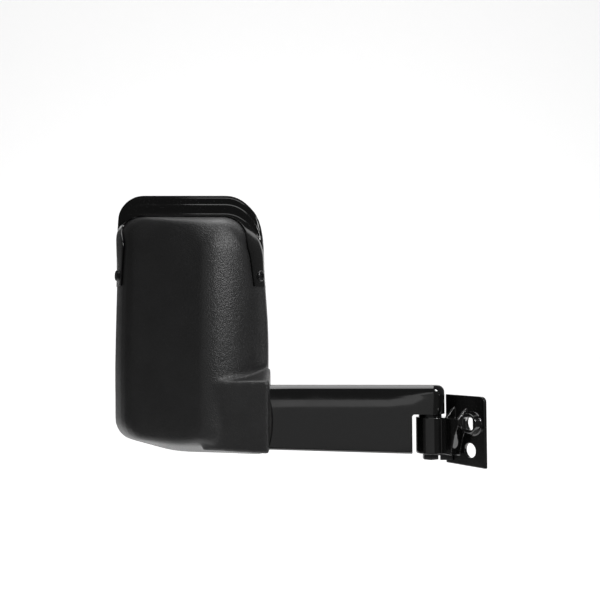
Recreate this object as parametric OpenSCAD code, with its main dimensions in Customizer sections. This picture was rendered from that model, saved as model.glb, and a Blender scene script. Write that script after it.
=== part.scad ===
// Long-arm side mirror for a van, with a folding hinge and a ball-jointed glass.
// The origin is the centre of the lower fixing hole, on the plate's mounting face.
// +Z is up, +X runs from the mirror head to the bracket, and the glass faces +Y.

/* [Head] */
// Width of the housing
head_w = 176; // [150:1:210]
// Height of the housing without the visor
head_h = 272; // [220:1:330]
// Depth from the rim to the flange's end, where the housing starts to taper
rim_flange = 12; // [8:1:14]
// Depth of the housing from its rim to the keel
head_depth = 70; // [60:1:90]
// Wall thickness of the housing
shell_wall = 3; // [2:0.5:4]
// Distance from the arm's centre plane back to the housing's rim
rim_y = 34; // [30:1:44]
// Distance from the fold axis to the near side of the housing
head_offset = 181.5; // [160:1:220]
// Height of the housing's lowest edge, measured from the lower fixing hole
head_low = -9.5; // [-14:0.5:0]
// Distance from the housing's far side to the keel
keel_in = 107; // [90:1:115]

/* [Visor] */
// How far the visor stands above the housing at the top
visor_rise = 27; // [14:1:34]
// How far its rim reaches behind the housing's rim
visor_reach = 7; // [3:1:14]
// Thickness of the visor
visor_t = 2.6; // [2:0.1:3.5]
// Height of the legs' ends, measured from the lower fixing hole
visor_low = 179.6; // [150:1:200]
// Head diameter of the visor's screws
visor_screw_d = 12.5; // [9:0.5:13]
// Height of those screws above the legs' ends
visor_screw_up = 9.5; // [8:0.5:14]

/* [Arm] */
// Depth of the arm
arm_d = 36; // [32:1:42]
// Height of the arm at the head
arm_h = 70; // [64:1:76]
// How much taller the arm is at the hinge
arm_drop = 4.6; // [0:0.2:8]
// Height of the arm's top, measured from the lower fixing hole
arm_top = 69.1; // [66:0.5:76]
// Edge radius of the arm
arm_r = 8; // [5:0.5:12]
// Wall thickness of the arm
arm_wall = 3.5; // [3:0.5:5]
// Number of cross ribs inside the arm
arm_ribs = 3; // [3:1:5]
// Gap between the arm's lower end and the fold axis
arm_notch = 22.5; // [21:0.5:26]
// Length of the tongue that enters the housing
tongue_l = 48; // [40:1:56]
// Thickness of the tongue
tongue_t = 10; // [8:0.5:12]
// Middle thickness of the gasket between housing and arm
gasket_t = 4; // [3:0.5:6]

/* [Hinge] */
// Diameter of both knuckles
knuckle_d = 32; // [30:1:38]
// Height of the lower knuckle
knuckle_h = 39.6; // [34:0.2:44]
// Gap between the knuckles
knuckle_gap = 3.7; // [2:0.1:5]
// Height of the lower knuckle's top, measured from the lower fixing hole
knuckle_top = 33.6; // [32:0.2:36]
// Diameter of the ring between the knuckles
ring_d = 25.4; // [22:0.2:28]
// Diameter of the pivot stud
pivot_d = 10; // [8:0.5:12]
// Wall thickness of the pivot bush
bush_wall = 2; // [1:0.25:2.5]
// Radial clearance of the pivot stud in what turns on it
pivot_gap = 0.05; // [0.02:0.01:0.09]
// Depth of the pocket for the disc springs
spring_pocket = 9; // [6:0.5:14]
// Diameter of the disc springs
spring_d = 20; // [18:0.5:22]
// Thickness of the tabbed plate under the lower knuckle
thrust_t = 2; // [1.5:0.25:3]
// Height of the pivot nut
nut_h = 5; // [5:0.5:8]
// Width across the flats of the pivot nut
nut_af = 16; // [13:0.5:19]

/* [Bracket] */
// Angle between the plate and the arm
plate_angle = 55; // [45:1:60]
// Width of the plate
plate_w = 56; // [54:1:66]
// Height of the plate
plate_h = 75.4; // [70:0.2:90]
// Thickness of the plate
plate_t = 4; // [3:0.5:5]
// How far the plate reaches below the lower fixing hole
plate_below = 17; // [14:0.5:22]
// How far the plate's front face lies inside the knuckles' outer line
plate_in = 1; // [0:0.5:3]
// Distance along the plate from the fold axis to its near edge
plate_s = 9; // [9:0.5:14]
// Diameter of the round fixing hole
hole_d = 15.5; // [12:0.5:17]
// Distance along the plate from the fold axis to the round hole
hole_s = 44.3; // [42:0.1:50]
// Side of the square fixing hole
square_hole = 13; // [10:0.5:14]
// Height of the square hole above the round one
hole_spacing = 29.5; // [27:0.5:36]
// How far the raised seat's centre lies beyond the round hole, along the plate
seat_shift = 4.7; // [0:0.1:6]
// Height of the raised seat round the square hole
seat_h = 8; // [5:0.5:10]
// Diameter of the raised seat at the plate
seat_d = 24.6; // [24:0.2:28]
// Depth of the ledge and of its gussets
ledge_d = 14; // [12:0.5:14]
// Height of the gussets
gusset_h = 11; // [8:0.5:14]
// Thickness of the gussets
gusset_t = 3; // [2:0.5:4]

/* [Glass] */
// Gap between the housing's outline and the glass
glass_gap = 13.5; // [12.5:0.5:16]
// Thickness of the glass
glass_t = 2.5; // [2:0.1:3]
// Distance from the housing's rim in to the glass
glass_in = 9; // [8:0.5:11]
// Thickness of the foam pad behind the glass
pad_t = 0.8; // [0.5:0.1:1]
// Thickness of the glass tray
tray_t = 2.5; // [2:0.1:3]
// Width of the soft rim round the glass
bezel_w = 3; // [2:0.5:4]
// Diameter of the ball
ball_d = 18; // [16:0.5:20]
// Thickness of the liner round the ball
liner_t = 1.8; // [1.5:0.1:2.5]
// Clearance between the ball, the liner and the socket
ball_gap = 0.3; // [0.25:0.05:0.4]
// Thickness of the inner frame
frame_t = 3; // [2.5:0.5:4]

/* [Hidden] */

$fn = 48;
eps = 0.01;
// Clearance between pieces that don't touch
gap = 0.3;

GRAIN = [0.09, 0.09, 0.09];
GLOSS = [0.05, 0.05, 0.05];
STEEL = [0.62, 0.63, 0.65];
RUBBER = [0.12, 0.12, 0.12];
NYLON = [0.80, 0.79, 0.74];

// The origin, seen from the fold axis
plate_q = knuckle_d / 2 - plate_in;
plate_back = plate_q + plate_t;
origin_x = hole_s * cos(plate_angle) + plate_back * sin(plate_angle);
origin_y = -hole_s * sin(plate_angle) + plate_back * cos(plate_angle);

// Moves what is drawn round the fold axis to the part's origin.
module from_axis() {
    translate([-origin_x, -origin_y, 0]) children();
}

// Draws along the plate: x runs along it, y is its mounting direction.
module along_plate() {
    from_axis() rotate([0, 0, -plate_angle]) children();
}

// ---------------------------------------------------------------- outline of the housing

head_right = -head_offset;
head_left = head_right - head_w;
head_top = head_low + head_h;
head_mid = [(head_left + head_right) / 2, (head_low + head_top) / 2];
keel_x = head_left + keel_in;
keel_low = head_low + 34;
keel_high = head_top - 47;

// Corners of the housing's outline, counter-clockwise: x, z, radius and segments of the arc
OUTLINE = [
    [head_left, head_top, 28, 8],
    [head_left - 1.3, head_low + 0.37 * head_h, 700, 2],
    [head_left, head_low + 20, 25, 7],
    [head_left + 68, head_low + 1.5, 130, 4],
    [head_right, head_low - 2, 8, 3],
    [head_right + 0.5, head_low + 0.5 * head_h, 700, 2],
    [head_right - 7.5, head_top - 26, 62, 6],
    [head_right - 38, head_top, 34, 6],
];

function unit(v) = v / norm(v);
function mix(a, b, t) = a + (b - a) * t;
function smooth_min(a, b, k) =
    let (h = max(0, min(1, 0.5 + (b - a) / (2 * k)))) mix(b, a, h) - k * h * (1 - h);

// Points of the arc that rounds corner b between its neighbours a and c.
function corner_arc(a, b, c) =
    let (
        p = [b.x, b.y],
        u = unit([a.x, a.y] - p),
        v = unit([c.x, c.y] - p),
        half = acos(u * v) / 2,
        run = b.z / tan(half),
        centre = p + unit(u + v) * b.z / sin(half),
        from = p + u * run - centre,
        turn = 180 - 2 * half,
        side = sign(u.x * v.y - u.y * v.x)
    )
    [for (i = [0:b[3]])
        let (t = -side * turn * i / b[3])
        centre + [from.x * cos(t) - from.y * sin(t), from.x * sin(t) + from.y * cos(t)]];

function rounded(corners) =
    let (n = len(corners))
    [for (i = [0:n - 1]) each corner_arc(corners[(i + n - 1) % n], corners[i], corners[(i + 1) % n])];

RIM = rounded(OUTLINE);
RIM_N = len(RIM);

// The point of the keel that a point of the rim runs to
function keel_point(p) = [keel_x, max(keel_low, min(keel_high, p.y))];
function to_keel(p) = unit(keel_point(p) - p);
// Steepness of the wall next to the rim, by direction: far side, near side, top and bottom
function wall_slope(u) =
    u.x * u.x * (u.x > 0 ? 2.0 : 2.6) + u.y * u.y * (u.y < 0 ? 4.0 : 3.4);
// How far the face has fallen back at the rim, evenly and as a curve: far side, near side
FAR_FALL = [27.8, 0];
NEAR_FALL = [2.76, 50];
function side_fall(fall, t) = fall[0] * t + fall[1] * t * t;
// How far the face has fallen back at distance g from the keel
function face_fall(u, g) =
    u.x * u.x * (u.x > 0 ? side_fall(FAR_FALL, g / keel_in) : side_fall(NEAR_FALL, g / (head_w - keel_in)))
    + u.y * u.y * (0.1 * g + 0.006 * g * g);

// Depth of the housing behind its flange, at distance d from the rim of point p
function depth_at(p, d) =
    let (
        reach = norm(keel_point(p) - p),
        u = to_keel(p),
        full = head_depth - rim_flange
    )
    max(0, smooth_min(wall_slope(u) * d, full - face_fall(u, reach - d), 16));

// A point of the housing's surface, moved in by a wall
function shell_point(p, share, wall) =
    let (
        reach = norm(keel_point(p) - p),
        u = to_keel(p),
        d = share * reach,
        deep = rim_flange + depth_at(p, d) - (share > 0 ? wall : wall * 0.6),
        q = p + u * (d + wall * (1 - share))
    )
    [q.x, rim_y - deep, q.y];

// Shares of the way from the rim to the keel at which a ring is drawn, outside and inside
OUTER_SHARES = [0, 0.04, 0.09, 0.15, 0.22, 0.3, 0.4, 0.52, 0.68, 0.84, 0.97];
INNER_SHARES = [0, 0.05, 0.12, 0.2, 0.3, 0.42, 0.6, 0.97];

// Triangles between ring k and the next one, and the fan that closes a ring at a point
function band(k) = [for (i = [0:RIM_N - 1])
    let (a = k * RIM_N + i, b = k * RIM_N + (i + 1) % RIM_N)
    each [[b, a, a + RIM_N], [b, a + RIM_N, b + RIM_N]]];
function fan(tip, k) = [for (i = [0:RIM_N - 1]) [tip, k * RIM_N + (i + 1) % RIM_N, k * RIM_N + i]];

// The housing's wall: rings run in from the keel, over the rim's edge, and out to the keel.
module head_wall() {
    rings = concat(
        [for (k = [len(INNER_SHARES) - 1:-1:0]) [for (p = RIM) shell_point(p, INNER_SHARES[k], shell_wall)]],
        [[for (p = RIM) let (q = p + to_keel(p) * shell_wall) [q.x, rim_y, q.y]]],
        [[for (p = RIM) [p.x, rim_y, p.y]]],
        [for (s = OUTER_SHARES) [for (p = RIM) shell_point(p, s, 0)]]
    );
    last = len(rings) - 1;
    middle = mix(keel_low, keel_high, 0.5);
    inner_tip = (last + 1) * RIM_N;
    points = concat(
        [for (ring = rings) each ring],
        [[keel_x, rim_y - head_depth + shell_wall, middle], [keel_x, rim_y - head_depth, middle]]
    );
    faces = concat(
        [for (f = fan(inner_tip, 0)) [f[0], f[2], f[1]]],
        [for (k = [0:last - 1]) each band(k)],
        fan(inner_tip + 1, last)
    );
    polyhedron(points, faces);
}

// Where the middle of the wall lies in front of a place near the keel
function wall_middle(x) =
    rim_y - head_depth + face_fall([x < keel_x ? 1 : -1, 0], abs(x - keel_x)) + shell_wall / 2;

// ---------------------------------------------------------------- arm and its socket

arm_low = arm_top - arm_h;
arm_mid = arm_top - arm_h / 2;
socket_l = 58;
socket_x = head_right + 3.5;
socket_low = arm_low - 3.4;
socket_high = arm_top + 6;
socket_front = -arm_d / 2 - 8;
socket_back = arm_d / 2 + 1;
socket_rise = 13;
socket_lean = 0.1;
arm_left = socket_x;
// The gasket bulges to this radius over the height of its recess
gasket_h = 54;
gasket_r = (gasket_h * gasket_h / 4 + gasket_t * gasket_t) / (2 * gasket_t);
gasket_z = arm_mid - 4.5;

// Thin upright slice with rounded corners, across the arm.
module slice(x, half, low, high, r) {
    for (y = [-half + r, half - r], z = [low + r, high - r])
        translate([x, y, z]) rotate([0, 90, 0]) cylinder(r = r, h = 0.1, $fn = 32);
}

// The socket that takes the arm: its front leans out and its top rises towards the back.
module socket_form(inset, run) {
    r = 3;
    in = r + inset;
    hull() for (x = [0, run], front = [0, 1], top = [0, 1])
        translate([
            socket_x - in - x,
            front ? socket_front + in - x * socket_lean : socket_back - in,
            top ? socket_high - in + (1 - front) * socket_rise : socket_low + in
        ])
            sphere(r = r, $fn = 8);
}

// ---------------------------------------------------------------- inside the head

ball_at = [head_mid.x, rim_y - glass_in - glass_t - pad_t - tray_t - ball_d / 2 - 0.5, head_mid.y];
frame_y = ball_at.y - ball_d / 2 - 3.5 - frame_t;
tongue_y = frame_y - tongue_t;
tongue_low = arm_low + 12;
tongue_high = arm_top - 12;
tray_y = rim_y - glass_in - glass_t - pad_t - tray_t;
glass_y = rim_y - glass_in - glass_t;

// Where the shell's screws stand, as x and z
SHELL_SCREWS = [
    [keel_x - 34, keel_high - 23], [keel_x + 14, keel_high - 23],
    [keel_x - 34, keel_low + 40], [keel_x - 2, keel_low + 40],
];
// Where the frame's screws stand on the tongue, as x and z
FRAME_SCREWS = [for (x = [14, tongue_l - 9], z = [tongue_low + 9, tongue_high - 9]) [socket_x - x, z]];

// Draws at each place given as x and z, with the drawn z axis along +Y from y.
module at_places(places, y) {
    for (p = places) translate([p.x, y, p.y]) rotate([-90, 0, 0]) children();
}

// Pan-head screw whose head seats at z = 0 and whose shank runs to -l.
module pan_screw(head_r, head_h, shank_r, l) {
    difference() {
        union() {
            rotate_extrude() polygon([
                [0, 0], [head_r, 0], [head_r, head_h * 0.45], [head_r * 0.72, head_h], [0, head_h]
            ]);
            translate([0, 0, -l]) cylinder(r = shank_r, h = l + eps);
        }
        translate([0, 0, head_h * 0.4]) cylinder(r = head_r * 0.4, h = head_h, $fn = 6);
    }
}

boss_r = 5.5;
shell_screw_l = 12;
drain_in = 52;
drain_d = 16;
swing_y = -1;

module rear_shell() color(GRAIN) from_axis() difference() {
    union() {
        head_wall();
        difference() {
            socket_form(0, socket_l);
            // the glass swings behind the rim, so the socket ends in front of it
            flat_slab(swing_y, rim_y - swing_y) glass_outline(glass_gap / 2);
        }
        for (p = SHELL_SCREWS)
            translate([p.x, wall_middle(p.x), p.y]) rotate([-90, 0, 0])
                cylinder(r = boss_r, h = frame_y - wall_middle(p.x));
    }
    // the socket is hollow, and its mouth lets the tongue in
    socket_form(shell_wall, socket_l - 2);
    translate([socket_x - socket_l, tongue_y - 1, tongue_low - 1])
        cube([socket_l + 5, tongue_t + 2, tongue_high - tongue_low + 2]);
    at_places(SHELL_SCREWS, frame_y - shell_screw_l - 1) cylinder(r = 2, h = shell_screw_l + 2);
    // drain slot in the lower edge
    translate([head_left + drain_in, -drain_d / 2, head_low - drain_d / 2]) cube(drain_d);
    visor_screw_places() translate([0, 0, -12]) cylinder(r = 1.95, h = 20);
}

// ---------------------------------------------------------------- visor

visor_foot = 19;
visor_clear = 0.25;
// The leg's outer face stands this share of the thickness out at its foot, and reaches this far past it
foot_share = 0.8;
foot_drop = 0.6;
visor_rim_y = rim_y + visor_reach;
visor_step_y = rim_y - rim_flange;

// The stretch of the outline that the visor covers, from its near leg over the top to the far leg
function in_visor(i) = RIM[i].y > visor_low + 6;
VISOR_PATH = concat(
    [visor_end(1)],
    [for (i = [0:RIM_N - 1]) let (k = (i + RIM_N / 2) % RIM_N) if (in_visor(k)) RIM[k]],
    [visor_end(-1)]
);
VISOR_N = len(VISOR_PATH);

// Point of the outline at the height of the legs' ends, on the near side (1) or far side (-1)
function visor_end(side) =
    let (
        pick = [for (i = [0:RIM_N - 1])
            let (a = RIM[i], b = RIM[(i + 1) % RIM_N])
            if ((a.y - visor_low) * (b.y - visor_low) <= 0 && a.y != b.y
                && (side > 0) == (a.x > head_mid.x))
            mix(a, b, (visor_low - a.y) / (b.y - a.y))]
    ) pick[0];

function path_normal(i) =
    let (
        a = VISOR_PATH[max(0, i - 1)],
        b = VISOR_PATH[min(VISOR_N - 1, i + 1)],
        t = unit(b - a)
    ) [t.y, -t.x];

// How much of the visor's rise a height gets: none on the legs, all at the top
function rise_share(z) =
    let (t = max(0, min(1, (z - (head_top - 58)) / 50))) t * t * (3 - 2 * t);

// One section of the visor: the back runs from the foot to the rim, the front returns
VISOR_FLARE = 6;
function visor_section(i) =
    let (
        p = VISOR_PATH[i],
        n = path_normal(i),
        u = to_keel(p),
        foot = p + u * visor_foot / wall_slope(u) + n * visor_clear,
        lift = [0, visor_rise * rise_share(p.y)],
        back = concat(
            [[foot, visor_step_y - visor_foot]],
            [for (k = [0:VISOR_FLARE])
                let (t = 90 * k / VISOR_FLARE)
                [p + n * visor_clear + lift * (1 - cos(t)),
                    visor_step_y + (visor_rim_y - visor_step_y) * sin(t)]]
        ),
        front = concat(
            [[foot + n * visor_t * foot_share, visor_step_y - visor_foot - foot_drop]],
            [for (k = [0:VISOR_FLARE])
                let (
                    t = 90 * k / VISOR_FLARE,
                    flare = rise_share(p.y)
                )
                [back[k + 1][0] + n * visor_t * mix(1, cos(t), flare),
                    back[k + 1][1] - visor_t * sin(t) * flare]]
        )
    )
    [for (q = concat(back, [for (k = [VISOR_FLARE + 1:-1:0]) front[k]])) [q[0].x, q[1], q[0].y]];

module visor() color(GRAIN) from_axis() difference() {
    visor_body();
    visor_screw_places() translate([0, 0, -12]) cylinder(r = 2.4, h = 20);
}

module visor_body() {
    m = 2 * (VISOR_FLARE + 2);
    points = [for (i = [0:VISOR_N - 1]) each visor_section(i)];
    faces = concat(
        [for (i = [0:VISOR_N - 2], k = [0:m - 1])
            [i * m + k, i * m + (k + 1) % m, (i + 1) * m + k]],
        [for (i = [0:VISOR_N - 2], k = [0:m - 1])
            [i * m + (k + 1) % m, (i + 1) * m + (k + 1) % m, (i + 1) * m + k]],
        [for (k = [0:VISOR_FLARE]) [k + 1, k, m - 1 - k]],
        [for (k = [0:VISOR_FLARE]) [k + 1, m - 1 - k, m - 2 - k]],
        [for (k = [0:VISOR_FLARE])
            let (o = (VISOR_N - 1) * m) [o + k, o + k + 1, o + m - 1 - k]],
        [for (k = [0:VISOR_FLARE])
            let (o = (VISOR_N - 1) * m) [o + k + 1, o + m - 2 - k, o + m - 1 - k]]
    );
    polyhedron(points, faces);
}

// Draws at both visor screws, with the drawn z axis out of the leg's sloped face.
module visor_screw_places() {
    for (side = [1, -1]) {
        next = VISOR_PATH[side > 0 ? 1 : VISOR_N - 2];
        p = mix(visor_end(side), next, visor_screw_up / (next.y - visor_low));
        along = unit(next - visor_end(side));
        n = side * [along.y, -along.x];
        u = to_keel(p);
        top = p + n * (visor_clear + visor_t);
        foot = p + u * visor_foot / wall_slope(u) + n * (visor_clear + visor_t * foot_share);
        deep = visor_foot + foot_drop;
        out = side * unit(cross([along.x, 0, along.y], [foot.x - top.x, -deep, foot.y - top.y]));
        translate([(top.x + foot.x) / 2, visor_step_y - deep / 2, (top.y + foot.y) / 2])
            rotate(acos(out.z), cross([0, 0, 1], out)) children();
    }
}

module visor_screws() color(GLOSS) from_axis() visor_screw_places()
    translate([0, 0, 0.1]) pan_screw(visor_screw_d / 2, 3, 1.9, 6);

module shell_screws() color(STEEL) from_axis()
    at_places(SHELL_SCREWS, frame_y + frame_t) pan_screw(4.5, 3, 1.9, shell_screw_l);

// ---------------------------------------------------------------- arm

upper_low = knuckle_top + knuckle_gap;
arm_end = -arm_notch;

module arm_body() {
    hull() {
        slice(arm_left, arm_d / 2, arm_low, arm_top, arm_r);
        slice(arm_end - 0.1, arm_d / 2, arm_low - arm_drop, arm_top, arm_r);
    }
    translate([0, 0, upper_low]) linear_extrude(arm_top - upper_low) union() {
        circle(d = knuckle_d);
        translate([arm_end - 6, -knuckle_d / 2]) square([6 - arm_end, knuckle_d]);
    }
}

module arm() color(GLOSS) from_axis() difference() {
    union() {
        arm_body();
        translate([arm_left - tongue_l, tongue_y, tongue_low])
            cube([tongue_l + 12, tongue_t, tongue_high - tongue_low]);
    }
    difference() {
        // the casting is open below, between its cross ribs
        cell = (arm_end - 12 - arm_left - 12 - arm_ribs * arm_wall) / (arm_ribs + 1);
        for (k = [0:arm_ribs])
            translate([arm_left + 12 + k * (cell + arm_wall), -arm_d / 2 + arm_wall, arm_low - arm_drop - 5])
                cube([cell, arm_d - 2 * arm_wall, arm_h + arm_drop + 5 - arm_wall]);
    }
    // hollow for the gasket
    intersection() {
        translate([arm_left - gasket_r + gasket_t, 0, gasket_z])
            rotate([90, 0, 0]) cylinder(r = gasket_r, h = arm_d + 2, center = true, $fn = 180);
        difference() {
            translate([arm_left - 1, -arm_d, arm_low - 10]) cube([gasket_t + 2, 2 * arm_d, arm_h + 20]);
            translate([arm_left - 2, tongue_y, tongue_low])
                cube([gasket_t + 4, tongue_t, tongue_high - tongue_low]);
        }
    }
    // bore that holds the pivot stud
    translate([0, 0, upper_low - 1]) cylinder(d = pivot_d, h = stud_in + 1);
    at_places(FRAME_SCREWS, tongue_y + 1) cylinder(r = 2.5, h = tongue_t);
}

module arm_gasket() color(RUBBER) from_axis() intersection() {
    translate([arm_left - gasket_r + gasket_t, 0, gasket_z])
        rotate([90, 0, 0]) cylinder(r = gasket_r, h = arm_d - 3, center = true, $fn = 180);
    difference() {
        translate([arm_left, -arm_d / 2 + 1.5, arm_low]) cube([gasket_t, arm_d - 3, arm_h]);
        translate([arm_left - 1, tongue_y - 0.2, tongue_low - 0.2])
            cube([gasket_t + 2, tongue_t + 0.4, tongue_high - tongue_low + 0.4]);
    }
}

// ---------------------------------------------------------------- hinge

knuckle_low = knuckle_top - knuckle_h;
thrust_low = knuckle_low - thrust_t;
nut_low = thrust_low - nut_h;
stud_in = 24;
washer_t = 1.5;
bush_low = knuckle_low + spring_pocket;

module pivot_stud() color(STEEL) from_axis()
    translate([0, 0, nut_low - 0.8]) cylinder(d = pivot_d, h = upper_low + stud_in - nut_low + 0.8);

module pivot_nut() color(STEEL) from_axis() difference() {
    translate([0, 0, nut_low]) rotate([0, 0, 30]) cylinder(d = nut_af / cos(30), h = nut_h, $fn = 6);
    translate([0, 0, nut_low - 1]) cylinder(d = pivot_d, h = nut_h + 2);
}

module lower_bush() color(NYLON) from_axis() difference() {
    translate([0, 0, bush_low]) cylinder(d = pivot_d + 2 * pivot_gap + 2 * bush_wall, h = knuckle_top - bush_low);
    translate([0, 0, bush_low - 1]) cylinder(d = pivot_d + 2 * pivot_gap, h = knuckle_h + 2);
}

module friction_ring() color(NYLON) from_axis() difference() {
    translate([0, 0, knuckle_top]) cylinder(d = ring_d, h = knuckle_gap);
    translate([0, 0, knuckle_top - 1]) cylinder(d = pivot_d + 2 * gap, h = knuckle_gap + 2);
}

// Disc springs, stacked in opposite pairs so that their rims and bores touch in turn
spring_n = 4;
spring_free = (spring_pocket - washer_t) / spring_n;
spring_t = spring_free * 0.62;

module disc_springs() color(STEEL) from_axis() for (k = [0:spring_n - 1])
    translate([0, 0, bush_low - (k + 0.5) * spring_free])
        mirror([0, 0, k % 2])
            rotate_extrude() polygon([
                [pivot_d / 2 + gap, spring_free / 2 - spring_t], [spring_d / 2, -spring_free / 2],
                [spring_d / 2, -spring_free / 2 + spring_t], [pivot_d / 2 + gap, spring_free / 2],
            ]);

module spring_washer() color(STEEL) from_axis() difference() {
    translate([0, 0, knuckle_low]) cylinder(d = spring_d, h = washer_t);
    translate([0, 0, knuckle_low - 1]) cylinder(d = pivot_d + 2 * gap, h = washer_t + 2);
}

// The plate's tab reaches under the web and is bent down at its front.
tab_x = 22.7;

module thrust_plate() color(GLOSS) from_axis() difference() {
    union() {
        translate([0, 0, thrust_low]) cylinder(r = nut_af / 2 + 0.6, h = thrust_t);
        translate([0, -nut_af / 2 - 0.6, thrust_low]) cube([tab_x, nut_af + 1.2, thrust_t]);
        translate([nut_af / 2 + 1.4, -nut_af / 2 - 0.6, nut_low])
            cube([tab_x - nut_af / 2 - 1.4, thrust_t, nut_h + eps]);
    }
    translate([0, 0, thrust_low - 1]) cylinder(d = pivot_d + 2 * gap, h = thrust_t + 2);
    // its corner is cut off along the bracket's plate
    rotate([0, 0, -plate_angle]) translate([-tab_x, plate_q - gap, nut_low - 1])
        cube([3 * tab_x, tab_x, nut_h + thrust_t + 2]);
}

// ---------------------------------------------------------------- bracket

plate_low = -plate_below;
web_q = plate_q - ledge_d;
web_end = 41;
seat_s = hole_s + seat_shift;
seat_wall = 3;
hole_r = 2.5;
// Where the gussets' middles stand along the plate
GUSSETS = [21.8, web_end - 1.8];

// Side view of the web: its end runs back towards the knuckle as it goes down.
module web() {
    translate([0, plate_q + eps, 0]) rotate([90, 0, 0]) linear_extrude(ledge_d + eps) polygon([
        [0, knuckle_low], [web_end - 12, knuckle_low], [web_end - 6.5, mix(knuckle_low, knuckle_top, 0.5)],
        [web_end, knuckle_top - 6], [web_end, knuckle_top], [0, knuckle_top]
    ]);
}

module gusset(s) {
    translate([s + gusset_t / 2, 0, 0]) rotate([0, -90, 0]) linear_extrude(gusset_t) polygon([
        [knuckle_top - eps, web_q + 0.5], [knuckle_top + gusset_h, plate_q - 0.8],
        [knuckle_top + gusset_h, plate_q + eps], [knuckle_top - eps, plate_q + eps]
    ]);
}

module plate() {
    r = 6;
    translate([0, plate_back, 0]) rotate([90, 0, 0]) linear_extrude(plate_t) union() {
        translate([plate_s, plate_low]) square([plate_w - r, plate_h]);
        translate([plate_s, plate_low]) square([plate_w, plate_h - r]);
        translate([plate_s + plate_w - r, plate_low + plate_h - r]) circle(r = r);
    }
}

// Raised seat with a tapered pocket behind it
module seat(grow, h) {
    translate([seat_s, plate_back, hole_spacing]) rotate([90, 0, 0])
        rotate_extrude() polygon([
            [0, 0], [seat_d / 2 + grow, 0], [seat_d / 2 + grow, plate_t],
            [seat_d / 2 - 1.8 + grow, plate_t + h], [0, plate_t + h]
        ]);
}

module square_bore() {
    translate([seat_s, plate_back + 1, hole_spacing]) rotate([90, 0, 0]) linear_extrude(30) union() {
        square([square_hole, square_hole - 2 * hole_r], center = true);
        square([square_hole - 2 * hole_r, square_hole], center = true);
        for (x = [-1, 1], y = [-1, 1])
            translate([x, y] * (square_hole / 2 - hole_r)) circle(r = hole_r);
    }
}

module bracket() color(GLOSS) along_plate() difference() {
    union() {
        plate();
        web();
        for (s = GUSSETS) gusset(s);
        seat(0, seat_h);
        translate([0, 0, knuckle_low]) cylinder(d = knuckle_d, h = knuckle_h);
    }
    translate([0, 1, 0]) seat(-2.4, seat_h - seat_wall);
    square_bore();
    translate([hole_s, plate_back + 1, 0]) rotate([90, 0, 0]) cylinder(d = hole_d, h = plate_t + 2);
    // bush bore, and the pocket of the disc springs
    translate([0, 0, knuckle_low - 1]) cylinder(d = pivot_d + 2 * pivot_gap + 2 * bush_wall, h = knuckle_h + 2);
    translate([0, 0, knuckle_low - 1]) cylinder(d = spring_d + 2 * gap, h = spring_pocket + 1);
}

// ---------------------------------------------------------------- inner frame and ball joint

neck_r = 4;

// Flat outline with corners of one radius
module rounded_square(x0, y0, x1, y1, r) {
    translate([x0 + r, y0]) square([x1 - x0 - 2 * r, y1 - y0]);
    translate([x0, y0 + r]) square([x1 - x0, y1 - y0 - 2 * r]);
    for (x = [x0 + r, x1 - r], y = [y0 + r, y1 - r]) translate([x, y]) circle(r = r);
}

module inner_frame() color(STEEL) from_axis() translate([0, frame_y + frame_t, 0]) rotate([90, 0, 0])
    linear_extrude(frame_t) difference() {
        union() {
            // the plate's lower half ends beside the socket
            rounded_square(keel_x - 44, keel_low + 20, keel_x + 6, keel_high - 7, 8);
            rounded_square(keel_x - 44, socket_high + socket_rise + 2.4, keel_x + 30, keel_high - 7, 8);
            rounded_square(keel_x - 30, tongue_low + 1, socket_x - 4, tongue_high - 1, 6);
        }
        translate([ball_at.x, ball_at.z]) circle(r = neck_r + 0.2);
        for (p = concat(SHELL_SCREWS, FRAME_SCREWS)) translate(p) circle(r = 2.8);
        for (z = [-34, 34]) translate([ball_at.x + 6, ball_at.z + z]) circle(r = 13);
    }

module frame_screws() color(STEEL) from_axis()
    at_places(FRAME_SCREWS, frame_y + frame_t) pan_screw(5, 3, 2.4, tongue_t + frame_t - 2);

module ball_stud() color(STEEL) from_axis() translate(ball_at) rotate([-90, 0, 0]) {
    seat = frame_y + frame_t - ball_at.y;
    sphere(d = ball_d);
    translate([0, 0, seat]) cylinder(r = 7, h = 1.4);
    translate([0, 0, seat - frame_t - 8]) cylinder(r = neck_r, h = 8 + frame_t - seat);
}

module ball_stud_washer() color(STEEL) from_axis() translate([ball_at.x, frame_y - 1.2, ball_at.z])
    rotate([-90, 0, 0]) difference() {
        cylinder(r = 8, h = 1.2);
        translate([0, 0, -1]) cylinder(r = neck_r + 0.2, h = 4);
    }

module ball_stud_nut() color(STEEL) from_axis() translate([ball_at.x, frame_y - 1.2 - 6, ball_at.z])
    rotate([-90, 0, 0]) difference() {
        cylinder(d = 13 / cos(30), h = 6, $fn = 6);
        translate([0, 0, -1]) cylinder(r = neck_r, h = 8);
    }

liner_r = ball_d / 2 + ball_gap + liner_t;
cup_r = liner_r + ball_gap;
cup_wall = 2.6;
// Where the socket's two halves meet, behind the ball's centre
split_y = -1;
ring_back = -6.5;

module ball_liner() color(NYLON) from_axis() translate(ball_at) rotate([-90, 0, 0]) difference() {
    intersection() {
        sphere(r = liner_r);
        translate([-20, -20, ring_back + 0.6]) cube([40, 40, 40]);
    }
    sphere(r = ball_d / 2 + ball_gap);
}

SOCKET_SCREWS = [for (a = [45:90:315]) [cos(a), sin(a)] * (cup_r + cup_wall + 3.4)];

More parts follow.
